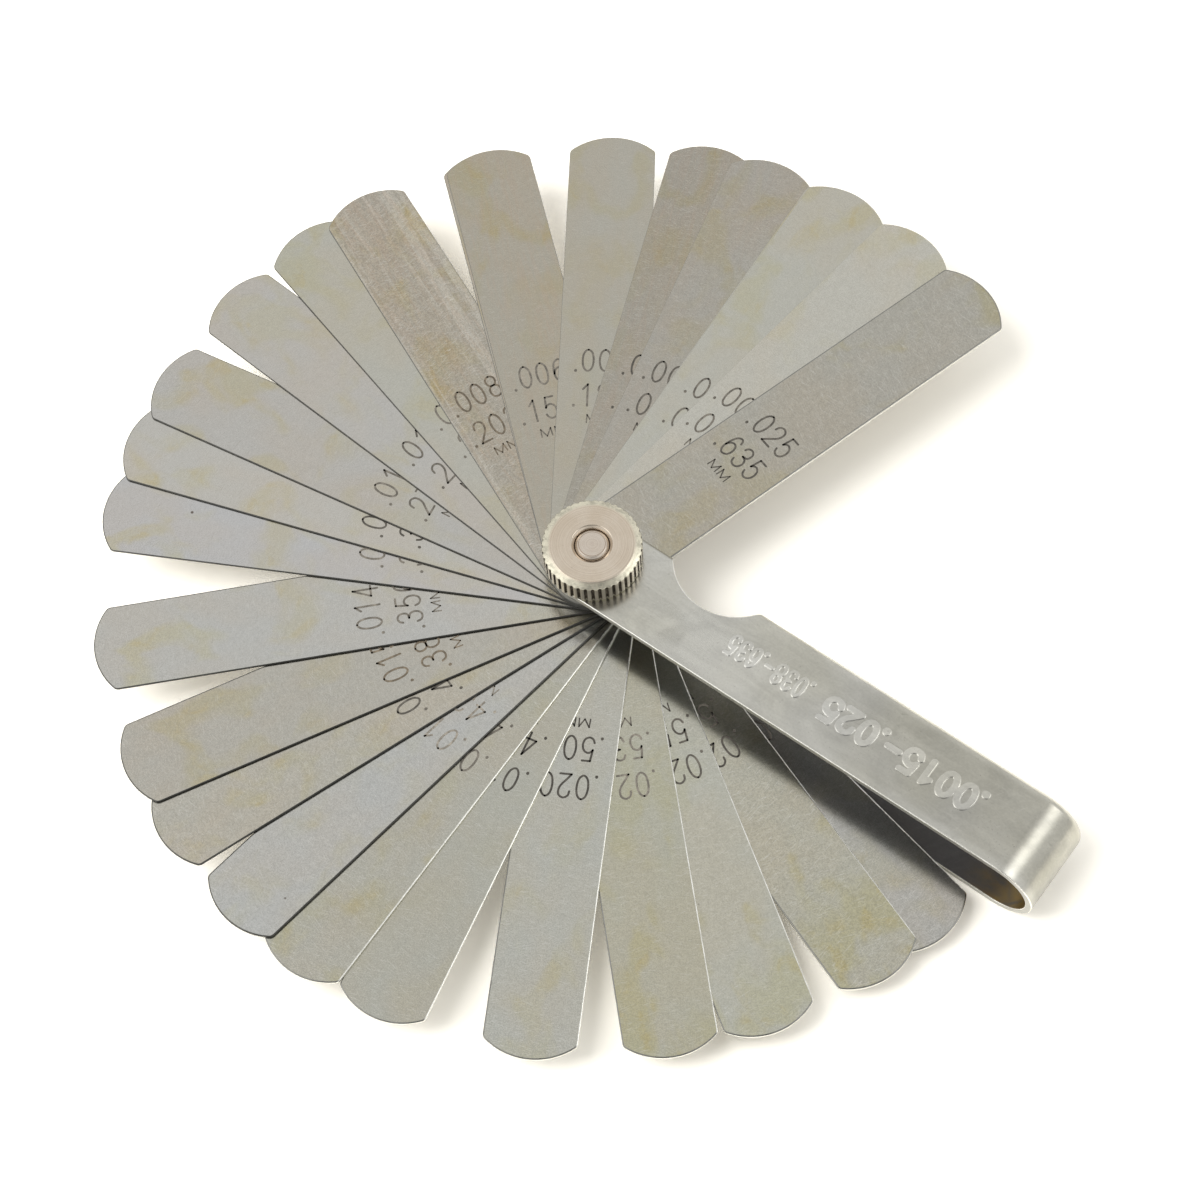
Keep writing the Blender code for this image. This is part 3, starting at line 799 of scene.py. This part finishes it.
def build_nut():
    """Rings of corners from the bore over the top and down the knurl to the foot, joined."""
    low, high = (corner.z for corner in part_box("lock_nut"))
    count = NUT_GROOVES * NUT_STEPS
    pitch = 2 * math.pi / count
    angles = [pitch * i for i in range(count)]
    fall = NUT_CHAMFER_DROP / (NUT_R - NUT_FLAT_R)
    soft = NUT_FLAT_BLEND
    bm = bmesh.new()

    def brow(radius):
        """The height of the top at a radius: flat, then a shallow cone, with a soft crest."""
        past = radius - NUT_FLAT_R
        if past <= -soft:
            return high
        if past < soft:
            return high - fall * (past + soft) ** 2 / (4 * soft)
        return high - fall * past

    def ring(radius_at, height_at):
        return [bm.verts.new((radius_at(a) * math.cos(a), radius_at(a) * math.sin(a), height_at(a)))
                for a in angles]

    def hoop(radius, z):
        return ring(lambda a: radius, lambda a: z)

    def crest(turn):
        """One ring of the rounding between the chamfer and the knurl."""
        inwards, down = NUT_CREST * (1 - math.sin(turn)), 0.9 * NUT_CREST * (1 - math.cos(turn))

        def radius_at(a):
            return knurl_radius(a, 0.45) - inwards

        return ring(radius_at, lambda a: brow(radius_at(a)) - down)

    def knurled(depth, z):
        return ring(lambda a: knurl_radius(a, depth), lambda a: z)

    sink = high - NUT_SINK_DEPTH
    rings = [hoop(HOLE_R, low + HOLE_CHAMFER), hoop(HOLE_R, sink),
             hoop(HOLE_R + 0.03 * MM, sink + 0.05 * MM)]
    for out, drop in ((-0.06 * MM, 0.09 * MM), (0.0, 0.02 * MM), (0.06 * MM, 0.0), (0.25 * MM, 0.0)):
        rings.append(hoop(NUT_SINK_R + out, high - drop))
    for out in (-0.4 * MM, -soft, -soft / 2, 0.0, soft / 2, soft, 0.3 * MM, 0.5 * MM):
        rings.append(hoop(NUT_FLAT_R + out, brow(NUT_FLAT_R + out)))
    for step in range(5):
        rings.append(crest(math.pi / 2 * step / 4))
    shoulder = high - NUT_CHAMFER_DROP - NUT_CREST
    foot = low + NUT_FOOT_CHAMFER
    sides = [knurled(0.85, shoulder - 0.12 * MM), knurled(1, shoulder - 0.30 * MM),
             knurled(1, foot + 0.08 * MM), knurled(1, foot)]
    rings += sides
    rings.append(ring(lambda a: min(knurl_radius(a), NUT_R - NUT_FOOT_CHAMFER), lambda a: low))
    rings += [hoop(HOLE_R + HOLE_CHAMFER, low), rings[0]]
    for inner, outer in zip(rings, rings[1:]):
        on_side = any(row is inner or row is outer for row in sides[:-1])
        for i in range(count):
            j = (i + 1) % count
            face = bm.faces.new((inner[i], inner[j], outer[j], outer[i]))
            if on_side:
                deep = knurl_radius(angles[i] + pitch / 2) < NUT_R - 0.10 * MM
                face.material_index = 2 if deep else 1

    # The lands and the grooves are lit and shaded copies of the nickel: the lands' brighter colour is a
    # painted highlight, and the grooves' dark mottling is partly dirt and partly painted shade.
    colour = (0.690, 0.608, 0.508)
    looks = (turned_look("nut_nickel_plate", colour, 0.22, worn=(0.80, 0.765, 0.625)),
             turned_look("nut_lands_painted_highlight", (0.76, 0.71, 0.62), 0.42),
             turned_look("nut_grooves_dirt_and_shade", colour, 0.5, 0.92))
    nut = as_piece("lock_nut_fine", bm, looks, 40)
    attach(nut, "lock_nut")
    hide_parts("lock_nut")


def build_screw():
    """Head, shank and countersunk end turned in one, and the square neck under the leaves."""
    low, high = (corner.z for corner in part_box("pivot_screw"))
    mark = SHANK_END_R - 0.10 * MM
    profile = ((0, low), (HEAD_R - HEAD_CHAMFER, low), (HEAD_R, low + HEAD_CHAMFER),
               (HEAD_R, HEAD_TOP), (SHANK_R, HEAD_TOP), (SHANK_R, high - SHANK_END_CHAMFER),
               (SHANK_END_R, high), (mark, high))
    groove = [(mark, high), (mark - 0.05 * MM, high - 0.07 * MM), (mark - 0.10 * MM, high), (0, high)]
    bm = bmesh.new()
    lathe(bm, rounded(profile, 0.12 * MM, 4)[:-1] + groove, 96)
    side = NECK_SIDE / 2
    square = [(-side, -side), (side, -side), (side, side), (-side, side)]
    rim = (0.08 * MM, 0.08 * MM)
    neck = slab((square,), NECK_FOOT, STACK_Z - 0.02 * MM, rim, rim, 2, 0.1 * MM)
    spare = bpy.data.meshes.new("neck")
    neck.to_mesh(spare)
    neck.free()
    bm.from_mesh(spare)
    bpy.data.meshes.remove(spare)
    for face in bm.faces:
        face.material_index = 0
    looks = (turned_look("screw_nickel_plate", (0.67, 0.60, 0.525), 0.24),)
    screw = as_piece("pivot_screw_fine", bm, looks, 40)
    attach(screw, "case")
    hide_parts("pivot_screw")


# ---------------------------------------------------------------- stage


def bearing(azimuth, elevation):
    """The direction towards a place in the room, from its angles in degrees."""
    a, e = math.radians(azimuth), math.radians(elevation)
    return Vector((math.cos(a) * math.cos(e), math.sin(a) * math.cos(e), math.sin(e)))


def softbox(name, azimuth, elevation, width, height, radiance, colour):
    """A light a metre away that faces the object, of an even brightness."""
    light = bpy.data.lights.new(name, "AREA")
    light.shape = "RECTANGLE"
    light.size, light.size_y = width, height
    light.energy = radiance * math.pi * width * height
    light.color = colour
    made = bpy.data.objects.new(name, light)
    bpy.context.scene.collection.objects.link(made)
    made.location = bearing(azimuth, elevation)
    made.rotation_euler = (-made.location).to_track_quat("-Z", "Y").to_euler()
    return made


# The zones of the sky that differ from its level: where a zone lies, its outer and inner
# half-angle in degrees, and its share of the level outside and inside.
SKY_ZONES = (
    ((0, 0, 1), 90, 72, 0.7, 1.0),  # darker towards the horizon
    (bearing(311, 58), 40, 20, 1.0, 0.28),  # a dark side
    (bearing(82, 68), 12, 2, 1.0, 0.6),  # a dim spot overhead
)


def build_sky():
    """A bright room of uneven brightness."""
    world = bpy.data.worlds.new("studio")
    bpy.context.scene.world = world
    world.use_nodes = True
    tree = world.node_tree
    way = tree.nodes.new("ShaderNodeTexCoord").outputs["Generated"]
    strength = SKY_LEVEL
    for aim, outer, inner, to_outer, to_inner in SKY_ZONES:
        towards = tree.nodes.new("ShaderNodeVectorMath")
        towards.operation = "DOT_PRODUCT"
        tree.links.new(way, towards.inputs[0])
        towards.inputs[1].default_value = aim
        shade = tree.nodes.new("ShaderNodeMapRange")
        shade.interpolation_type = "SMOOTHSTEP"
        tree.links.new(towards.outputs["Value"], shade.inputs["Value"])
        shade.inputs["From Min"].default_value = math.cos(math.radians(outer))
        shade.inputs["From Max"].default_value = math.cos(math.radians(inner))
        shade.inputs["To Min"].default_value = to_outer
        shade.inputs["To Max"].default_value = to_inner
        product = tree.nodes.new("ShaderNodeMath")
        product.operation = "MULTIPLY"
        tree.links.new(shade.outputs["Result"], product.inputs[0])
        feed(tree, product.inputs[1], strength)
        strength = product.outputs["Value"]
    background = tree.nodes["Background"]
    tree.links.new(strength, background.inputs["Strength"])
    background.inputs["Color"].default_value = SKY_COLOUR


def build_stage():
    """White paper under the gauge, the lights and the camera."""
    bm = bmesh.new()
    bmesh.ops.create_grid(bm, x_segments=8, y_segments=8, size=3.0)
    floor = as_piece("floor", bm, (floor_look(),))
    floor.location.z = FLOOR_Z

    build_sky()
    softbox("key", 38, 52, 0.40, 0.40, 2.1, (1.0, 0.99, 0.97))
    softbox("strip", 225, 50, 0.60, 0.90, 0.9, LAMP_COLOUR)
    wash = softbox("floor_wash", 223, 54, 0.60, 0.90, 5.8, LAMP_COLOUR)
    wash.visible_glossy = False  # it only lights the paper, and no steel shows it

    scene = bpy.context.scene
    scene.view_settings.view_transform = "Standard"
    camera = bpy.data.objects.new("camera", bpy.data.cameras.new("camera"))
    scene.collection.objects.link(camera)
    camera.location = CAMERA_PLACE
    camera.rotation_euler = [math.radians(a) for a in CAMERA_TURN]
    camera.data.lens = CAMERA_LENS
    camera.data.sensor_width = 36.0
    camera.data.clip_start = 0.01
    scene.camera = camera


def main():
    """Each leaf is built straight and turned to its place in the fan by its joint's low limit."""
    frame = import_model()
    fans = {j["child"]: -j["range_deg"][0] for j in frame["joints"]}
    for seed, name in enumerate(LEAVES):
        build_leaf(name, fans[name], seed + 1)
    build_case()
    # The figures keep 0.93 of their brightness in the same painted shade as the plate.
    figures = case_look("case_figures", 0.62, 0.25, 0.93)
    raised_figures("inch_range", ".0015-.025", 2.0 * MM, 3.5 * MM, 2.93 * MM, 64.5 * MM, 1.55 * MM,
                   0.53 * MM, 0.42 * MM, figures)
    raised_figures("metric_range", ".038-.635", 1.1 * MM, 3.0 * MM, 1.72 * MM, 36.3 * MM, 1.65 * MM,
                   0.33 * MM, 0.22 * MM, figures)
    build_nut()
    build_screw()
    build_stage()
    bpy.context.view_layer.update()


main()
